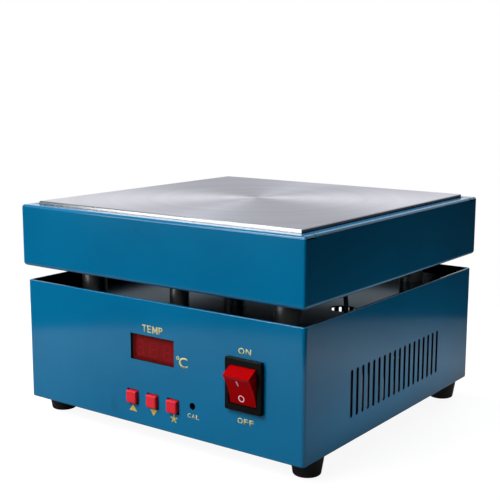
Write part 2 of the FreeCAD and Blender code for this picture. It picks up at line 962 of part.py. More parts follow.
def transformer_coil():
    gap = slide_gap
    width = 4 * core_limb - 2 * gap
    depth = core_stack + 2 * (core_limb - gap)
    height = core_window_height - 2 * gap
    bottom = window_bottom + gap
    coil = rounded(block(width, depth, height, core_x, core_y, bottom), core_limb / 2, UP)
    limb = block(2 * core_limb + 2 * gap, core_stack + 2 * gap, height, core_x, core_y, bottom)
    return coil.cut(limb)


sink_x = power_x + sink_offset_x
sink_y = power_y + sink_offset_y


def heat_sink():
    sink = block(sink_wall, sink_width, sink_height, sink_x, sink_y, power_top)
    fin_x = sink_x - sink_wall / 2 - sink_fin_length / 2
    step = (sink_width - sink_fin_thick) / (sink_fin_count - 1)
    for place in range(sink_fin_count):
        y = sink_y - sink_width / 2 + sink_fin_thick / 2 + place * step
        sink = sink.fuse(block(sink_fin_length, sink_fin_thick, sink_height, fin_x, y, power_top))
    return sink.removeSplitter()


def triac():
    """A power switch on the flat side of the heat sink, on three legs from the power board."""
    face = sink_x + sink_wall / 2
    bottom = power_top + triac_leg_length
    body_x = face + triac_body_thick / 2
    body = block(triac_body_thick, triac_width, triac_body_height, body_x, sink_y, bottom)
    tab_bottom = bottom + triac_body_height
    tab = block(triac_tab_thick, triac_width, triac_tab_height, face + triac_tab_thick / 2, sink_y,
                tab_bottom)
    made = body.fuse(tab)
    for place in (-1, 0, 1):
        y = sink_y + place * triac_leg_pitch
        made = made.fuse(block(triac_leg_side, triac_leg_side, triac_leg_length, body_x, y, power_top))
    return made


block_x = power_x + block_offset_x
block_y = power_y - power_depth / 2 + block_inset + block_depth / 2
fuse_x = power_x + fuse_offset_x
fuse_y = block_y + block_depth / 2 + fuse_room + clip_wall + fuse_radius
fuse_z = power_top + fuse_lift + fuse_radius


def fuse():
    return rod(fuse_radius, fuse_length, fuse_x - fuse_length / 2, fuse_y, fuse_z, RIGHT)


def fuse_clips():
    """Two spring clips that hold the ends of the fuse."""
    width = 2 * (fuse_radius + clip_wall)
    height = fuse_z - power_top + fuse_radius / 2
    made = []
    for side in (-1, 1):
        x = fuse_x + side * (fuse_length - clip_length) / 2
        clip = block(clip_length, width, height, x, fuse_y, power_top)
        bore = rod(fuse_radius, clip_length, x - clip_length / 2, fuse_y, fuse_z, RIGHT)
        mouth = block(clip_length, fuse_radius, fuse_radius, x, fuse_y, fuse_z)
        made.append(clip.cut([bore, mouth]))
    return group(made)


lead_level = power_top + block_height / 2


def terminal_block():
    return block(block_width, block_depth, block_height, block_x, block_y, power_top)


# Sleeve and leads
def heater_conduit():
    """A sleeve with a head on the tray floor, through the gap into the control box."""
    bottom = shield_bottom - conduit_tail
    top = tray_floor + conduit_head_thick
    sleeve = rod(conduit_radius, top - bottom, conduit_x, conduit_y, bottom)
    head = rod(conduit_head_radius, conduit_head_thick, conduit_x, conduit_y, tray_floor)
    bore = rod(conduit_radius - conduit_wall, top - bottom, conduit_x, conduit_y, bottom)
    return sleeve.fuse(head).cut(bore)


def heater_lead(side):
    """A lead from a heater terminal through the sleeve to the terminal block."""
    x_start = conduit_x + side * terminal_spread
    y_drop = conduit_y + side * heater_lead_spread
    x_way = block_x + side * block_way / 2
    points = [
        V(x_start, terminal_y - nut_m4_flats / 2, lead_height),
        V(x_start, y_drop, lead_height),
        V(conduit_x, y_drop, lead_height),
        V(conduit_x, y_drop, lead_level),
        V(x_way, y_drop, lead_level),
        V(x_way, block_y - block_depth / 2, lead_level),
    ]
    return lead(points, heater_lead_radius, [heater_lead_bend] * (len(points) - 2))


probe_bottom = insulation_bottom - probe_tail


def sensor_probe():
    return rod(probe_radius, plate_bottom + probe_depth - probe_bottom, sensor_x, sensor_y, probe_bottom)


sensor_lead_points = [
    V(sensor_x, sensor_y, probe_bottom),
    V(sensor_x, sensor_y, tray_floor + sensor_lead_drop),
    V(lead_hole_x + 4.1, lead_hole_y - 1.3, shield_top),
    V(88.0, -32.0, 62.0),
    V(74.0, -42.0, 46.0),
    V(50.0, -55.0, connector_z),
    V(connector_x, -70.0, connector_z),
    V(connector_x, board_back + connector_length, connector_z),
]


def sensor_lead():
    return lead(sensor_lead_points, sensor_lead_radius, free_bends(sensor_lead_points))


def place_name(x, y):
    return ("back" if y > 0 else "front") + "_" + ("right" if x > 0 else "left")


pieces = {
    "heating_plate": heating_plate(),
    "heater_sheet": heater_sheet(),
    "heater_clamp_plate": heater_clamp_plate(),
    "heater_screws": heater_screws(),
    "insulation_board": insulation_board(),
    "heater_terminals": heater_terminals(),
    "heater_terminal_nuts": heater_terminal_nuts(),
    "plate_spacers": plate_spacers(),
    "plate_screws": plate_screws(),
    "tray_shell": tray_shell(),
    "pillar_screws": pillar_screws(),
    "base_shell": base_shell(),
    "heat_shield": heat_shield(),
    "bottom_cover": bottom_cover(),
    "cover_screws": cover_screws(),
    "foot_screws": foot_screws(),
    "foot_nuts": foot_nuts(),
    "display_filter": display_filter(),
    "display_module": display_module(),
    "trim_pot_body": trim_pot_body(),
    "trim_pot_rotor": trim_pot_rotor(),
    "control_board": control_board(),
    "board_standoffs": board_standoffs(),
    "board_screws": board_screws(),
    "controller_chip": controller_chip(),
    "sensor_connector": sensor_connector(),
    "switch_housing": switch_housing(),
    "switch_rocker": switch_rocker(),
    "switch_terminals": switch_terminals(),
    "inlet_housing": inlet_housing(),
    "inlet_pins": inlet_pins(),
    "inlet_screws": inlet_screws(),
    "power_board": power_board(),
    "power_standoffs": power_standoffs(),
    "transformer_core": transformer_core(),
    "transformer_coil": transformer_coil(),
    "heat_sink": heat_sink(),
    "triac": triac(),
    "fuse": fuse(),
    "fuse_clips": fuse_clips(),
    "terminal_block": terminal_block(),
    "heater_conduit": heater_conduit(),
    "heater_lead_live": heater_lead(-1),
    "heater_lead_neutral": heater_lead(1),
    "sensor_probe": sensor_probe(),
    "sensor_lead": sensor_lead(),
}
for x, y in pillar_spots:
    pieces["pillar_" + place_name(x, y)] = pillar(x, y)
for x, y in foot_spots:
    pieces["foot_" + place_name(x, y)] = foot(x, y)
for name, x in zip(("up", "down", "set"), key_spots):
    pieces["button_" + name] = button(x)
    pieces["key_switch_" + name] = key_switch(x)

os.makedirs("parts", exist_ok=True)
for name, shape in pieces.items():
    shape.translate(to_frame)
    shape.exportStep("parts/" + name + ".step")

print("sensor lead bends", [round(bend, 1) for bend in free_bends(sensor_lead_points)])
print("moved to the frame by", round(to_frame.y, 3), "pieces", len(pieces))
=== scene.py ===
import json
import math

import bmesh
import bpy
from mathutils import Matrix, Vector


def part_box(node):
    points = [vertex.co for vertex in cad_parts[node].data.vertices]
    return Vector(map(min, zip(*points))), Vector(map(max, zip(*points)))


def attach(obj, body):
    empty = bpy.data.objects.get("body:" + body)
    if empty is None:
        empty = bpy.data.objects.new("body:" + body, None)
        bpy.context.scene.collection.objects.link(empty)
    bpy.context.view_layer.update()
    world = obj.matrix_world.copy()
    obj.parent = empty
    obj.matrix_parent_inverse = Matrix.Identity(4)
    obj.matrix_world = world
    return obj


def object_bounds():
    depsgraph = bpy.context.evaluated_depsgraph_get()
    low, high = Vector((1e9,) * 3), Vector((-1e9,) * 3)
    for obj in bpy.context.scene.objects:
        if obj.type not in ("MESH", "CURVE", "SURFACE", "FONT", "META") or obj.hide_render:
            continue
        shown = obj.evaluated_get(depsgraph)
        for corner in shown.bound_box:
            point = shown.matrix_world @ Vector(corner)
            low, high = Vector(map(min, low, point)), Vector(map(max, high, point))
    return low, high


# Reflow hot plate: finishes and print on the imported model, its stage, lamps and camera, in metres.

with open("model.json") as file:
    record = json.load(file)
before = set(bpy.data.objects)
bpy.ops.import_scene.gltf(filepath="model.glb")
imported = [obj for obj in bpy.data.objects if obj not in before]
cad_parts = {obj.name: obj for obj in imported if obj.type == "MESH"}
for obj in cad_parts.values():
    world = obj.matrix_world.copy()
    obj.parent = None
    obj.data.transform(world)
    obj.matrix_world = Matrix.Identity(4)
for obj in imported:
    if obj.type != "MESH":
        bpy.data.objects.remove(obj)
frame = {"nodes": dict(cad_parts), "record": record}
cad_low, cad_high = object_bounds()
nodes = frame["nodes"]
MM = 0.001

# Camera of the photograph, solved from the object's edges
camera_azimuth = math.radians(35.906)
camera_elevation = math.radians(9.943)
camera_roll = math.radians(0.204)
camera_place = Vector((0.38479, -0.53592, 0.22124))
focal_length_px = 1006.3
nearest_seen = 0.01
image_width_px = 500
sensor_width_mm = 36.0

# Lamps: size in metres, power in watts and place
key_size = (0.9, 0.9)
key_power = 24.0
key_place = Vector((-0.4, -1.0, 1.1))
kicker_size = (0.6, 0.28)
kicker_power = 3.0
kicker_place = Vector((-0.65, -1.12, 0.15))
fill_size = (0.8, 0.8)
fill_power = 0.85
fill_place = Vector((0.5, -1.3, 0.7))
side_size = (0.8, 0.8)
side_power = 18.0
side_place = Vector((-1.0, 0.15, 0.95))
back_size = (0.8, 0.8)
back_power = 14.0
back_place = Vector((-0.1, 1.3, 0.8))
low_size = (0.06, 0.22)
low_power = 0.085
low_place = Vector((0.16, 0.0, 0.003))

# Stage. Levels are how bright the floor looks in reflections by the distance from floor_dim_place,
# and how bright the sky looks by the height of its direction, 1 being white
white_level = 1.0
ambient = 0.04
floor_reach = 0.37
floor_albedo = 0.15
floor_glow = 0.92
floor_dim_place = (0.0, -0.14, 0.0)
floor_mirror_levels = ((0.05, 0.0), (0.22, 0.245), (0.35, 0.42), (0.49, 0.0))
room_reach = 2.6
room_height = 0.5
room_drop = 0.002
room_start = math.radians(-180)
room_end = math.radians(70)
sky_levels = ((0.3, 1.0), (0.73, 0.05), (0.84, 0.05), (0.96, 0.75))

# Finishes: the tilt of the sunk sheet's shading normal in X, Y and Z, the middle range of a noise, how far
# faces of a shell look away from its middle where the painted shade of its inner faces fades and is gone,
# and how rings of the plate waver
sheet_tilt = (-0.034, 0.047, 0.0)
noise_low = 0.3
noise_high = 0.7
shade_fade_start = 0.38
shade_fade_end = 0.46
ring_waver = 0.004

# Print on the front panel in millimetres, from the middle of the panel and from the floor. A label's
# box is its left, right, bottom and top; gaps and widths of letters are shares of a plain letter's width
ink_thick = 0.05 * MM
ink_sink = 0.03 * MM
label_weight = 0.016
label_boxes = {
    "ON": (63.0, 71.7, 68.2, 71.7),
    "OFF": (62.5, 73.8, 27.7, 31.1),
    "TEMP": (-8.2, 7.6, 69.7, 74.1),
    "CAL": (26.2, 34.9, 23.5, 26.1),
    "C": (20.0, 26.4, 52.6, 58.9),
}
letter_gap = 0.26
letter_widths = {"M": 1.32, "O": 1.15}
letter_m_outline = ((0.0, 0.0), (0.2, 0.0), (0.2, 0.6), (0.5, 0.12), (0.8, 0.6), (0.8, 0.0), (1.0, 0.0),
                    (1.0, 1.0), (0.76, 1.0), (0.5, 0.44), (0.24, 1.0), (0.0, 1.0))
degree_place = (19.1, 58.1)
degree_radius = 1.15
degree_hole = 0.6
up_arrow = ((-19.7, 18.8), (-13.6, 18.8), (-16.6, 22.8))
down_arrow = ((-3.1, 22.8), (-0.2, 18.9), (2.7, 22.8))
star_place = (15.7, 20.4)
star_arms = 5
star_reach = 2.7
star_width = 0.8

# Three-digit display behind its window, in millimetres
digit_count = 3
digit_left = -16.9
digit_pitch = 10.6
digit_width = 6.4
digit_low = 53.5
digit_high = 63.4
segment_width = 1.2
segment_gap = 0.25
digit_slant = 0.05
window_left = -17.9
window_right = 16.1
window_low = 51.7
window_high = 67.7
# Widths of the painted shadow at the left and top of the window, where the panel's edge casts shade
shadow_left_width = 0.9
shadow_top_width = 0.6

# Rocker in millimetres: its hollow face is measured from the pivot and tilted at rest, and the marks
# are measured from the middle of that face
rocker_middle = 4.2
rocker_edge_rise = 9.43
rocker_edge_out = 5.665
rocker_tilt = math.radians(23)
on_mark_middle = (-0.7, 4.4)
on_mark_size = (0.65, 3.6)
off_mark_middle = (-0.65, -5.9)
off_mark_radius = 2.05
off_mark_hole = 1.5
joints = frame["record"]["behaviour"]["joints"]
rocker_pivot = Vector(next(joint for joint in joints if joint["child"] == "rocker")["pos_m"])
rocker_drop = rocker_edge_out * math.sin(rocker_tilt)
rocker_half = rocker_edge_rise * math.cos(rocker_tilt)
rocker_ridge_z = rocker_pivot.z + (rocker_half - rocker_drop) * MM
rocker_foot_z = rocker_pivot.z - (rocker_half + rocker_drop) * MM


# Helpers for shader nodes
def feed(tree, socket, value):
    """Link a socket to another one, or give it a plain value."""
    if isinstance(value, bpy.types.NodeSocket):
        tree.links.new(value, socket)
    else:
        socket.default_value = value


def set_stops(node, stops):
    """Give a colour ramp its (position, colour) stops."""
    elements = node.color_ramp.elements
    for _ in stops[2:]:
        elements.new(0.5)
    for element, (position, colour) in zip(elements, stops):
        element.position = position
        element.color = (*colour, 1.0)


def grey_stops(levels):
    """Stops of a ramp through (position, level) greys."""
    return [(position, (level,) * 3) for position, level in levels]


class Paint:
    """A material in the making: its Principled shader and short ways to add nodes."""

    def __init__(self, name, **values):
        self.made = bpy.data.materials.new(name)
        self.made.use_nodes = True
        self.tree = self.made.node_tree
        self.shader = self.tree.nodes["Principled BSDF"]
        self.coordinates = self.tree.nodes.new("ShaderNodeTexCoord").outputs["Object"]
        for socket, value in values.items():
            self.shader.inputs[socket.replace("_", " ")].default_value = value

    def add(self, kind, **values):
        """A new node with some of its sockets linked or set."""
        node = self.tree.nodes.new("ShaderNode" + kind)
        for socket, value in values.items():
            self.feed(node.inputs[socket.replace("_", " ")], value)
        return node

    def feed(self, socket, value):
        """Link or set a socket of any of the nodes."""
        feed(self.tree, socket, value)

    def noise(self, scale, detail=2.0, vector=None):
        """A noise value whose features are about 1 / scale metres wide."""
        node = self.add("TexNoise", Scale=scale, Detail=detail)
        self.feed(node.inputs["Vector"], vector or self.coordinates)
        return node.outputs["Fac"]

    def ramp(self, factor, *stops):
        """A colour ramp through (position, colour) stops."""
        node = self.add("ValToRGB", Fac=factor)
        set_stops(node, stops)
        return node.outputs["Color"]

    def tones(self, noise, dark, light):
        """A colour from dark to light over the middle range of a noise."""
        return self.ramp(noise, (noise_low, dark), (noise_high, light))

    def span(self, factor, low, high):
        """A value moved from 0..1 to low..high."""
        node = self.add("MapRange", Value=factor, To_Min=low, To_Max=high)
        return node.outputs["Result"]

    def bump(self, height, depth, strength):
        """A normal that follows a height, depth being its reach in metres."""
        node = self.add("Bump", Height=height, Distance=depth, Strength=strength)
        return node.outputs["Normal"]

    def set(self, **links):
        """Link or set sockets of the Principled shader."""
        for socket, value in links.items():
            self.feed(self.shader.inputs[socket.replace("_", " ")], value)


def unshaded_faces(paint):
    """1 on the outer faces of a shell, 0 on its inner faces and on the edges of its slots, where painted
    shade goes.
    """
    generated = paint.add("TexCoord").outputs["Generated"]
    place = paint.add("VectorMath", Vector=generated)
    place.operation = "SUBTRACT"
    place.inputs[1].default_value = (0.5, 0.5, 0.5)
    facing = paint.add("VectorMath", Vector=place.outputs["Vector"])
    facing.operation = "DOT_PRODUCT"
    paint.feed(facing.inputs[1], paint.add("NewGeometry").outputs["True Normal"])
    side = paint.add("MapRange", Value=facing.outputs["Value"], From_Min=shade_fade_start, From_Max=shade_fade_end)
    return side.outputs["Result"]


def blue_paint():
    """Powder coat: a fine orange peel with slight changes of tone, and painted shade, near black, on the
    inner faces of a shell.
    """
    paint = Paint("blue_paint")
    tone = paint.add("Math", Value=paint.noise(18, detail=3))
    tone.operation = "MULTIPLY"
    paint.feed(tone.inputs[1], unshaded_faces(paint))
    # Painted shade: the near-black first stop darkens the inner faces of the shell, where shade falls.
    colour = paint.ramp(tone.outputs["Value"], (0.1, (0.004, 0.006, 0.008)),
                        (noise_low, (0.0, 0.133, 0.288)), (noise_high, (0.0, 0.152, 0.323)))
    peel = paint.noise(900, detail=1.5)
    rough = paint.span(paint.noise(160, detail=2), 0.08, 0.13)
    paint.set(Base_Color=colour, Roughness=rough, Normal=paint.bump(peel, depth=0.05 * MM, strength=0.25))
    return paint.made


def plate_metal():
    """Turned aluminium: fine rings about the middle of the plate, bright front and back, and the sides
    along X painted near black as a painted dark reflection.
    """
    paint = Paint("plate_metal", Metallic=1.0, Anisotropic=0.8, Anisotropic_Rotation=0.25)
    low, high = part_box("heating_plate")
    middle = (low + high) / 2
    offset = paint.add("VectorMath", Vector=paint.coordinates)
    offset.operation = "SUBTRACT"
    offset.inputs[1].default_value = (middle.x, middle.y, middle.z)
    parts = paint.add("SeparateXYZ", Vector=offset.outputs["Vector"])
    flat = paint.add("CombineXYZ", X=parts.outputs["X"], Y=parts.outputs["Y"])
    radius = paint.add("VectorMath", Vector=flat.outputs["Vector"])
    radius.operation = "LENGTH"
    angle = paint.add("Math")
    angle.operation = "ARCTAN2"
    paint.feed(angle.inputs[0], parts.outputs["Y"])
    paint.feed(angle.inputs[1], parts.outputs["X"])
    turn = paint.span(angle.outputs["Value"], 0.0, ring_waver)
    swirl = paint.add("CombineXYZ", X=radius.outputs["Value"], Y=turn)
    rings = paint.noise(900, detail=3, vector=swirl.outputs["Vector"])
    broad = paint.noise(90, detail=2, vector=swirl.outputs["Vector"])
    colour = paint.tones(broad, (0.44, 0.452, 0.53), (0.52, 0.534, 0.625))
    normal = paint.add("SeparateXYZ", Vector=paint.add("NewGeometry").outputs["Normal"])
    facing = normal.outputs["Z"]
    sideways = paint.add("Math", Value=normal.outputs["X"])
    sideways.operation = "ABSOLUTE"
    marks = paint.noise(300, detail=3)
    milled = paint.tones(marks, (0.51, 0.5, 0.485), (0.61, 0.6, 0.58))
    # Painted reflection: the sides facing along X are painted near black.
    painted_dark_sides = paint.tones(marks, (0.06, 0.065, 0.075), (0.085, 0.09, 0.105))
    edge = paint.add("MixRGB", Fac=sideways.outputs["Value"], Color1=milled, Color2=painted_dark_sides)
    blend = paint.add("MixRGB", Fac=facing, Color1=edge.outputs["Color"], Color2=colour)
    rough = paint.add("MapRange", Value=facing, To_Min=0.24, To_Max=paint.span(rings, 0.24, 0.36))
    tangent = paint.add("Tangent")
    tangent.direction_type = "RADIAL"
    tangent.axis = "Z"
    paint.set(Base_Color=blend.outputs["Color"], Roughness=rough.outputs["Result"])
    paint.set(Tangent=tangent.outputs["Tangent"])
    paint.set(Normal=paint.bump(rings, depth=0.01 * MM, strength=0.3))
    return paint.made


def bare_sheet():
    """Rolled sheet with a fine grain along one way. Its colour and edge tint are made near black as painted
    shade for the gap under the tray, and its shading normal is tilted as if it did not lie quite level.
    """
    paint = Paint("bare_sheet", Metallic=1.0, Specular_Tint=(0.25, 0.285, 0.315, 1.0))
    stretch = paint.add("Mapping", Vector=paint.coordinates)
    stretch.inputs["Scale"].default_value = (30.0, 900.0, 30.0)
    grain = paint.noise(1.0, detail=3, vector=stretch.outputs["Vector"])
    # Painted shade: the sheet's colour is made near black for the shaded gap under the tray.
    colour = paint.tones(grain, (0.048, 0.053, 0.058), (0.068, 0.075, 0.082))
    tilted = paint.add("VectorMath", Vector=paint.add("NewGeometry").outputs["Normal"])
    tilted.inputs[1].default_value = sheet_tilt
    normal = paint.add("VectorMath", Vector=tilted.outputs["Vector"])
    normal.operation = "NORMALIZE"
    paint.set(Base_Color=colour, Roughness=paint.span(grain, 0.08, 0.14), Normal=normal.outputs["Vector"])
    return paint.made


def moulded(name, dark, light, rough, grain=1200, depth=0.02, specular=0.5, ior=1.5):
    """Moulded plastic or rubber: a fine surface grain and a slight change of tone."""
    paint = Paint(name, Specular_IOR_Level=specular, IOR=ior)
    tone = paint.noise(60, detail=3)
    colour = paint.tones(tone, dark, light)
    fine = paint.noise(grain, detail=2)
    paint.set(Base_Color=colour, Roughness=paint.span(fine, rough - 0.06, rough + 0.06))
    paint.set(Normal=paint.bump(fine, depth=depth * MM, strength=0.4))
    return paint.made


def metal(name, dark, light, rough):
    """Plain plated or drawn metal with faint marks."""
    paint = Paint(name, Metallic=1.0)
    marks = paint.noise(500, detail=4)
    colour = paint.tones(marks, dark, light)
    paint.set(Base_Color=colour, Roughness=paint.span(marks, rough - 0.08, rough + 0.08))
    paint.set(Normal=paint.bump(marks, depth=0.01 * MM, strength=0.3))
    return paint.made


def glassy(name, dark, light, alpha, specular):
    """A clear tinted window: its tone varies a little and it shows what lies behind."""
    paint = Paint(name, Alpha=alpha, Specular_IOR_Level=specular)
    tone = paint.noise(120, detail=2)
    colour = paint.tones(tone, dark, light)
    paint.set(Base_Color=colour, Roughness=paint.span(paint.noise(700, detail=2), 0.08, 0.16))
    return paint.made


def rocker_red():
    """Translucent red plastic with a painted highlight along the ridge of the rocker and painted shade that
    makes it deeper towards its foot.
    """
    paint = Paint("red_rocker", Specular_IOR_Level=0.05)
    height = paint.add("SeparateXYZ", Vector=paint.coordinates).outputs["Z"]
    rise = paint.add("MapRange", Value=height, From_Min=rocker_foot_z, From_Max=rocker_ridge_z)
    waver = paint.add("Math", Value=paint.span(paint.noise(60, detail=3), -0.03, 0.02))
    paint.feed(waver.inputs[1], rise.outputs["Result"])
    # Painted highlight: the bright stop near 0.96 is a light line along the ridge; painted shade darkens
    # the colour towards the foot.
    colour = paint.ramp(waver.outputs["Value"], (0.0, (0.25, 0.0, 0.001)), (0.9, (0.52, 0.0, 0.002)),
                        (0.96, (0.7, 0.02, 0.025)), (0.99, (0.39, 0.0, 0.001)))
    fine = paint.noise(1200, detail=2)
    paint.set(Base_Color=colour, Roughness=paint.span(fine, 0.19, 0.31))
    paint.set(Normal=paint.bump(fine, depth=0.02 * MM, strength=0.4))
    return paint.made


materials = {
    "blue_paint": blue_paint(),
    "plate_metal": plate_metal(),
    "bare_sheet": bare_sheet(),
    "black_post": moulded("black_post", (0.004, 0.004, 0.004), (0.007, 0.007, 0.007), 0.36, ior=2.8),
    "black_rubber": moulded("black_rubber", (0.004, 0.004, 0.004), (0.009, 0.009, 0.009), 0.6,
                            grain=700, depth=0.05, specular=0.25),
    "black_plastic": moulded("black_plastic", (0.002, 0.002, 0.002), (0.004, 0.004, 0.004), 0.38,
                             specular=0.1),
    "red_cap": moulded("red_cap", (0.65, 0.014, 0.027), (0.72, 0.02, 0.036), 0.4, specular=0.25),
    "red_rocker": rocker_red(),
    "red_filter": glassy("red_filter", (0.22, 0.009, 0.009), (0.25, 0.011, 0.011),
                         alpha=0.35, specular=0.06),
    "display": moulded("display", (0.3, 0.021, 0.018), (0.34, 0.024, 0.02), 0.5, specular=0.1),
    "board": moulded("board", (0.008, 0.08, 0.03), (0.012, 0.11, 0.045), 0.4, grain=400),
    "screw_steel": metal("screw_steel", (0.42, 0.42, 0.42), (0.56, 0.56, 0.55), 0.35),
    "brass": metal("brass", (0.62, 0.43, 0.17), (0.74, 0.53, 0.24), 0.32),
    "coil": metal("coil", (0.45, 0.16, 0.06), (0.6, 0.24, 0.1), 0.4),
    "sink": metal("sink", (0.42, 0.42, 0.44), (0.52, 0.52, 0.54), 0.45),
    "mica": moulded("mica", (0.3, 0.24, 0.16), (0.4, 0.32, 0.22), 0.6),
    "fibre": moulded("fibre", (0.74, 0.72, 0.66), (0.84, 0.82, 0.76), 0.85, grain=500, depth=0.2),
    "lead_red": moulded("lead_red", (0.26, 0.02, 0.014), (0.32, 0.03, 0.02), 0.5),
    "pale_plastic": moulded("pale_plastic", (0.08, 0.22, 0.45), (0.11, 0.27, 0.52), 0.42),
    "fuse_glass": glassy("fuse_glass", (0.75, 0.78, 0.78), (0.85, 0.86, 0.86),
                         alpha=0.35, specular=0.5),
}
cream_ink = moulded("cream_ink", (0.56, 0.54, 0.23), (0.63, 0.605, 0.285), 0.5, specular=0.2)
gold_ink = moulded("gold_ink", (0.53, 0.4, 0.06), (0.6, 0.46, 0.09), 0.5, specular=0.2)
pale_ink = moulded("pale_ink", (0.8, 0.55, 0.57), (0.9, 0.66, 0.68), 0.45, specular=0.2)
segment_red = moulded("segment_red", (0.56, 0.014, 0.055), (0.62, 0.018, 0.065), 0.5, specular=0.1)
# Black for the painted shadow at the window's left and top edges.
painted_shadow_black = moulded("painted_shadow_black", (0.002, 0.002, 0.002), (0.004, 0.004, 0.004), 0.6, specular=0.1)

for part in frame["record"]["subparts"]:
    shown = nodes[part["node"]]
    shown.data.materials.clear()
    shown.data.materials.append(materials[part["material_slot"]])


def piece(name, mesh, material, body="casing"):
    """A mesh as a piece of the object, riding on a body."""
    mesh.materials.append(material)
    made = bpy.data.objects.new(name, mesh)
    bpy.context.scene.collection.objects.link(made)
    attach(made, body)


# Thin slabs of ink, drawn as flat faces in millimetres and laid on a surface
def slab(name, faces, lay):
    """A slab over flat faces that share corners. lay(u, v, lift) gives a point of the surface."""
    shape = bmesh.new()
    lower = {}
    upper = {}
    for corner in {corner for face in faces for corner in face}:
        lower[corner] = shape.verts.new(lay(*corner, -ink_sink))
        upper[corner] = shape.verts.new(lay(*corner, ink_thick))
    sides = {(face[i - 1], face[i]) for face in faces for i in range(len(face))}
    for face in faces:
        shape.faces.new([upper[corner] for corner in face])
        shape.faces.new([lower[corner] for corner in reversed(face)])
    for start, end in sorted(sides):
        if (end, start) not in sides:
            shape.faces.new((upper[end], upper[start], lower[start], lower[end]))
    bmesh.ops.recalc_face_normals(shape, faces=shape.faces)
    mesh = bpy.data.meshes.new(name)
    shape.to_mesh(mesh)
    shape.free()
    return mesh


def on_plane(y):
    """Lay flat shapes on an upright plane that looks to the front."""
    return lambda u, v, lift: Vector((u * MM, y - lift, v * MM))


def ring_faces(middle, outer, inner, count=40):
    """A flat ring as four-sided faces."""
    corners = []
    for step in range(count):
        turn = 2 * math.pi * step / count
        x, z = math.cos(turn), math.sin(turn)
        corners.append([(middle[0] + reach * x, middle[1] + reach * z) for reach in (outer, inner)])
    return [(corners[i - 1][0], corners[i][0], corners[i][1], corners[i - 1][1]) for i in range(count)]


def bar_face(middle, wide, tall):
    """An upright rectangle about its middle."""
    left, right = middle[0] - wide / 2, middle[0] + wide / 2
    low, high = middle[1] - tall / 2, middle[1] + tall / 2
    return ((left, low), (right, low), (right, high), (left, high))


def star_faces(middle, arms, reach, width):
    """A star of narrow arms, the first one upright, round a small middle."""
    half = math.pi / arms
    hub = width / 2 / math.sin(half)
    notches = []
    for step in range(arms):
        turn = math.pi / 2 + 2 * half * step - half
        notches.append((middle[0] + hub * math.cos(turn), middle[1] + hub * math.sin(turn)))
    faces = [tuple(notches)]
    for step in range(arms):
        turn = math.pi / 2 + 2 * half * step
        along = (math.cos(turn), math.sin(turn))
        run = reach - hub * math.cos(half)
        right, left = notches[step], notches[(step + 1) % arms]
        faces.append((right, (right[0] + run * along[0], right[1] + run * along[1]),
                      (left[0] + run * along[0], left[1] + run * along[1]), left))
    return faces


front_face_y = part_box("base_shell")[0].y
on_panel = on_plane(front_face_y)


# Lettering on the front panel
def letter_mesh(letter):
    """One letter as a thin slab in X and Z, with its front along -Y."""
    if letter == "M":
        return slab(letter, [letter_m_outline], on_plane(0.0))
    curve = bpy.data.curves.new(letter, "FONT")
    curve.body = letter
    curve.offset = label_weight
    text = bpy.data.objects.new(letter, curve)
    bpy.context.scene.collection.objects.link(text)
    bpy.context.view_layer.update()
    mesh = bpy.data.meshes.new_from_object(text.evaluated_get(bpy.context.evaluated_depsgraph_get()))
    bpy.data.objects.remove(text)
    bpy.data.curves.remove(curve)
    shape = bmesh.new()
    shape.from_mesh(mesh)
    for item in bmesh.ops.extrude_face_region(shape, geom=shape.faces[:])["geom"]:
        if isinstance(item, bmesh.types.BMVert):
            item.co.z += ink_thick + ink_sink
    bmesh.ops.recalc_face_normals(shape, faces=shape.faces)
    shape.transform(Matrix.Translation((0, ink_sink, 0)) @ Matrix.Rotation(math.radians(90), 4, "X"))
    shape.to_mesh(mesh)
    shape.free()
    return mesh


def fit_to_box(mesh, left, right, bottom, top):
    """Stretch a flat mesh in X and Z to a box on the front panel."""
    xs = [vert.co.x for vert in mesh.vertices]
    zs = [vert.co.z for vert in mesh.vertices]
    wide = (right - left) / (max(xs) - min(xs))
    tall = (top - bottom) / (max(zs) - min(zs))
    for vert in mesh.vertices:
        vert.co.x = left + (vert.co.x - min(xs)) * wide
        vert.co.z = bottom + (vert.co.z - min(zs)) * tall


def word_mesh(name, word, left, right, low, high):
    """A word that fills a box on the front panel. Most of its letters are equally wide."""
    shares = [letter_widths.get(letter, 1.0) for letter in word]
    wide = (right - left) / (sum(shares) + (len(word) - 1) * letter_gap)
    start = left
    shape = bmesh.new()
    for letter, share in zip(word, shares):
        end = start + share * wide
        mesh = letter_mesh(letter)
        fit_to_box(mesh, start * MM, end * MM, low * MM, high * MM)
        shape.from_mesh(mesh)
        bpy.data.meshes.remove(mesh)
        start = end + letter_gap * wide
    shape.transform(Matrix.Translation((0, front_face_y, 0)))
    mesh = bpy.data.meshes.new(name)
    shape.to_mesh(mesh)
    shape.free()
    return mesh


def panel_print():
    """Labels, degree ring, arrows and star on the front panel."""
    for word, box in label_boxes.items():
        name = "print_" + word.lower()
        piece(name, word_mesh(name, word, *box), cream_ink)
    degree = ring_faces(degree_place, degree_radius, degree_hole)
    piece("print_degree", slab("print_degree", degree, on_panel), cream_ink)
    piece("print_up", slab("print_up", [up_arrow], on_panel), gold_ink)
    piece("print_down", slab("print_down", [down_arrow], on_panel), gold_ink)
    star = star_faces(star_place, star_arms, star_reach, star_width)
    piece("print_star", slab("print_star", star, on_panel), gold_ink)


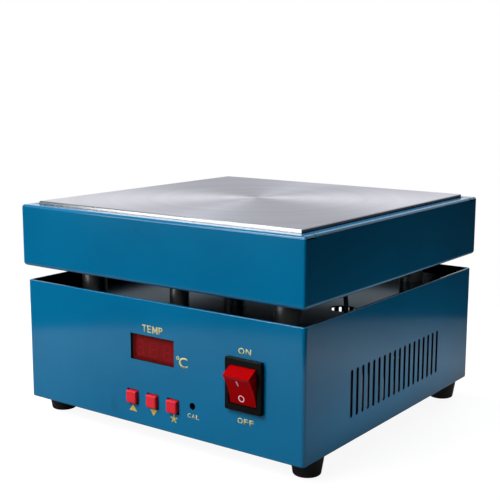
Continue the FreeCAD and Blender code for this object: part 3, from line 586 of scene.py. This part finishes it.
# Display: a painted shadow at the left and the top of the window, where the panel's edge casts shade, and
# unlit segments on the module
def segment_faces(left):
    """The seven segments of one digit, each a bar with pointed ends."""
    right = left + digit_width
    middle = (digit_low + digit_high) / 2
    half = segment_width / 2
    ends = []
    for level in (digit_low + half, middle, digit_high - half):
        ends.append(((left + half, level), (right - half, level)))
    for x in (left + half, right - half):
        ends.append(((x, digit_low + half), (x, middle)))
        ends.append(((x, middle), (x, digit_high - half)))
    faces = []
    for (x0, z0), (x1, z1) in ends:
        length = math.hypot(x1 - x0, z1 - z0)
        along = ((x1 - x0) / length, (z1 - z0) / length)
        side = (-along[1] * half, along[0] * half)
        outline = []
        near, far = half + segment_gap, length - half - segment_gap
        for run, across in ((segment_gap, 0), (near, -1), (far, -1),
                            (length - segment_gap, 0), (far, 1), (near, 1)):
            x = x0 + along[0] * run + side[0] * across
            z = z0 + along[1] * run + side[1] * across
            outline.append((x + (z - digit_low) * digit_slant, z))
        faces.append(tuple(outline))
    return faces


def display_detail():
    """The painted shadow at the left and top of the window on its filter, and the digits on the module
    behind it.
    """
    filter_face = on_plane(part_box("display_filter")[0].y)
    inner_left = window_left + shadow_left_width
    inner_top = window_high - shadow_top_width
    shadow_band = ((window_left, window_low), (inner_left, window_low), (inner_left, inner_top),
              (window_right, inner_top), (window_right, window_high), (window_left, window_high))
    piece("window_painted_shadow", slab("window_painted_shadow", [shadow_band], filter_face), painted_shadow_black)
    module_face = on_plane(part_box("display_module")[0].y)
    segments = []
    for count in range(digit_count):
        segments += segment_faces(digit_left + count * digit_pitch)
    piece("display_segments", slab("display_segments", segments, module_face), segment_red)


# Rocker marks: the hollow face is an arc about a line along X
def rocker_surface():
    """A function that lays flat shapes on the rocker's hollow face as it is at rest."""
    gain = rocker_edge_out - rocker_middle
    radius = (rocker_edge_rise ** 2 + gain ** 2) / (2 * gain)

    def lay(u, v, lift):
        sink = radius - math.sqrt(radius ** 2 - v ** 2)
        point = Vector((u, -rocker_middle - sink, v)) * MM
        inward = Vector((0, -(radius - sink), -v)).normalized()
        turned = Matrix.Rotation(rocker_tilt, 3, "X") @ (point + inward * lift)
        return turned + rocker_pivot
    return lay


def rocker_marks():
    """The bar for on and the ring for off."""
    lay = rocker_surface()
    on_mark = [bar_face(on_mark_middle, *on_mark_size)]
    off_mark = ring_faces(off_mark_middle, off_mark_radius, off_mark_hole)
    piece("rocker_on_mark", slab("rocker_on_mark", on_mark, lay), pale_ink, "rocker")
    piece("rocker_off_mark", slab("rocker_off_mark", off_mark, lay), pale_ink, "rocker")


panel_print()
display_detail()
rocker_marks()


# Stage
def stage_mesh(name, points, faces, material):
    """A mesh that belongs to the stage and not to the object."""
    mesh = bpy.data.meshes.new(name)
    mesh.from_pydata(points, [], faces)
    mesh.materials.append(material)
    made = bpy.data.objects.new(name, mesh)
    bpy.context.scene.collection.objects.link(made)
    return made


def arc(reach, z, start, end, count=96):
    """Points along a level arc about the middle of the stage."""
    points = []
    for step in range(count):
        turn = start + (end - start) * step / (count - 1)
        points.append((reach * math.cos(turn), reach * math.sin(turn), z))
    return points


def pale_floor():
    """A pale table top that stays white to the eye and keeps a soft shadow. In reflections its glow follows
    floor_mirror_levels: painted shade dims it near the object, and it is dark beyond the table.
    """
    paint = Paint("floor", Roughness=0.9, Specular_IOR_Level=0.0)
    paint.set(Base_Color=(floor_albedo, floor_albedo, floor_albedo, 1.0), Emission_Color=(1, 1, 1, 1))
    reach = paint.add("VectorMath", Vector=paint.coordinates)
    reach.operation = "DISTANCE"
    reach.inputs[1].default_value = floor_dim_place
    mirrored = paint.ramp(reach.outputs["Value"], *grey_stops(floor_mirror_levels))
    paint.set(Emission_Strength=strength_by_ray(paint.tree, floor_glow, mirrored, 0.0))
    rim = arc(floor_reach, 0.0, 0.0, 2 * math.pi)[:-1]
    stage_mesh("floor", rim, [list(range(len(rim)))], paint.made)


def dark_room():
    """The dark ground and walls of the room beyond the table. They show in reflections only."""
    paint = Paint("room", Roughness=0.9, Specular_IOR_Level=0.0)
    tone = paint.noise(3, detail=2)
    paint.set(Base_Color=paint.tones(tone, (0.01, 0.01, 0.01), (0.014, 0.014, 0.014)))
    rim = arc(room_reach, -room_drop, 0.0, 2 * math.pi)[:-1]
    ground = stage_mesh("ground", rim, [list(range(len(rim)))], paint.made)
    low = arc(room_reach, -room_drop, room_start, room_end)
    high = arc(room_reach, room_height, room_start, room_end)
    count = len(low)
    faces = [(i, i + 1, count + i + 1, count + i) for i in range(count - 1)]
    wall = stage_mesh("wall", low + high, faces, paint.made)
    for unseen in (ground, wall):
        unseen.visible_camera = False


def strength_by_ray(tree, seen, mirrored, rest):
    """One strength for camera and transmission rays, one for glossy rays and one for the rest."""
    path = tree.nodes.new("ShaderNodeLightPath")
    strength = rest
    for ray, level in (("Is Camera Ray", seen), ("Is Transmission Ray", seen), ("Is Glossy Ray", mirrored)):
        choice = tree.nodes.new("ShaderNodeMapRange")
        feed(tree, choice.inputs["Value"], path.outputs[ray])
        feed(tree, choice.inputs["To Min"], strength)
        feed(tree, choice.inputs["To Max"], level)
        strength = choice.outputs["Result"]
    return strength


def white_world():
    """White round the horizon, dark above it and pale overhead, with a low ambient light."""
    world = bpy.data.worlds.new("studio")
    bpy.context.scene.world = world
    world.use_nodes = True
    tree = world.node_tree
    background = tree.nodes["Background"]
    direction = tree.nodes.new("ShaderNodeTexCoord").outputs["Generated"]
    parts = tree.nodes.new("ShaderNodeSeparateXYZ")
    tree.links.new(direction, parts.inputs["Vector"])
    sky = tree.nodes.new("ShaderNodeValToRGB")
    tree.links.new(parts.outputs["Z"], sky.inputs["Fac"])
    set_stops(sky, grey_stops(sky_levels))
    tree.links.new(sky.outputs["Color"], background.inputs["Color"])
    tree.links.new(strength_by_ray(tree, white_level, white_level, ambient), background.inputs["Strength"])


def softbox(name, place, size, power, aim):
    """A rectangular lamp that looks at a point."""
    light = bpy.data.lights.new(name, "AREA")
    light.shape = "RECTANGLE"
    light.size, light.size_y = size
    light.energy = power
    lamp = bpy.data.objects.new(name, light)
    lamp.location = place
    lamp.rotation_euler = (aim - place).to_track_quat("-Z", "Y").to_euler()
    bpy.context.scene.collection.objects.link(lamp)
    return lamp


def photograph_camera():
    """The camera at the photograph's place and angle."""
    back = Vector((math.sin(camera_azimuth) * math.cos(camera_elevation),
                   -math.cos(camera_azimuth) * math.cos(camera_elevation),
                   math.sin(camera_elevation)))
    level_right = Vector((math.cos(camera_azimuth), math.sin(camera_azimuth), 0.0))
    level_up = back.cross(level_right)
    right = level_right * math.cos(camera_roll) + level_up * math.sin(camera_roll)
    up = back.cross(right)
    data = bpy.data.cameras.new("camera")
    data.sensor_width = sensor_width_mm
    data.lens = focal_length_px * sensor_width_mm / image_width_px
    data.clip_start = nearest_seen
    camera = bpy.data.objects.new("camera", data)
    turn = Matrix((right, up, back)).transposed().to_4x4()
    camera.matrix_world = Matrix.Translation(camera_place) @ turn
    bpy.context.scene.collection.objects.link(camera)
    bpy.context.scene.camera = camera


pale_floor()
dark_room()
white_world()
middle = (cad_low + cad_high) / 2
softbox("key", key_place, key_size, key_power, middle)
softbox("fill", fill_place, fill_size, fill_power, middle)
softbox("kicker", kicker_place, kicker_size, kicker_power, middle)
side_lamp = softbox("side", side_place, side_size, side_power, middle)
back_lamp = softbox("back", back_place, back_size, back_power, middle)
low_lamp = softbox("low", low_place, low_size, low_power, low_place + Vector((0, 0, 1)))
low_lamp.visible_camera = False
for lamp in (side_lamp, back_lamp, low_lamp):
    lamp.visible_glossy = False
photograph_camera()
bpy.context.scene.view_settings.view_transform = "Standard"
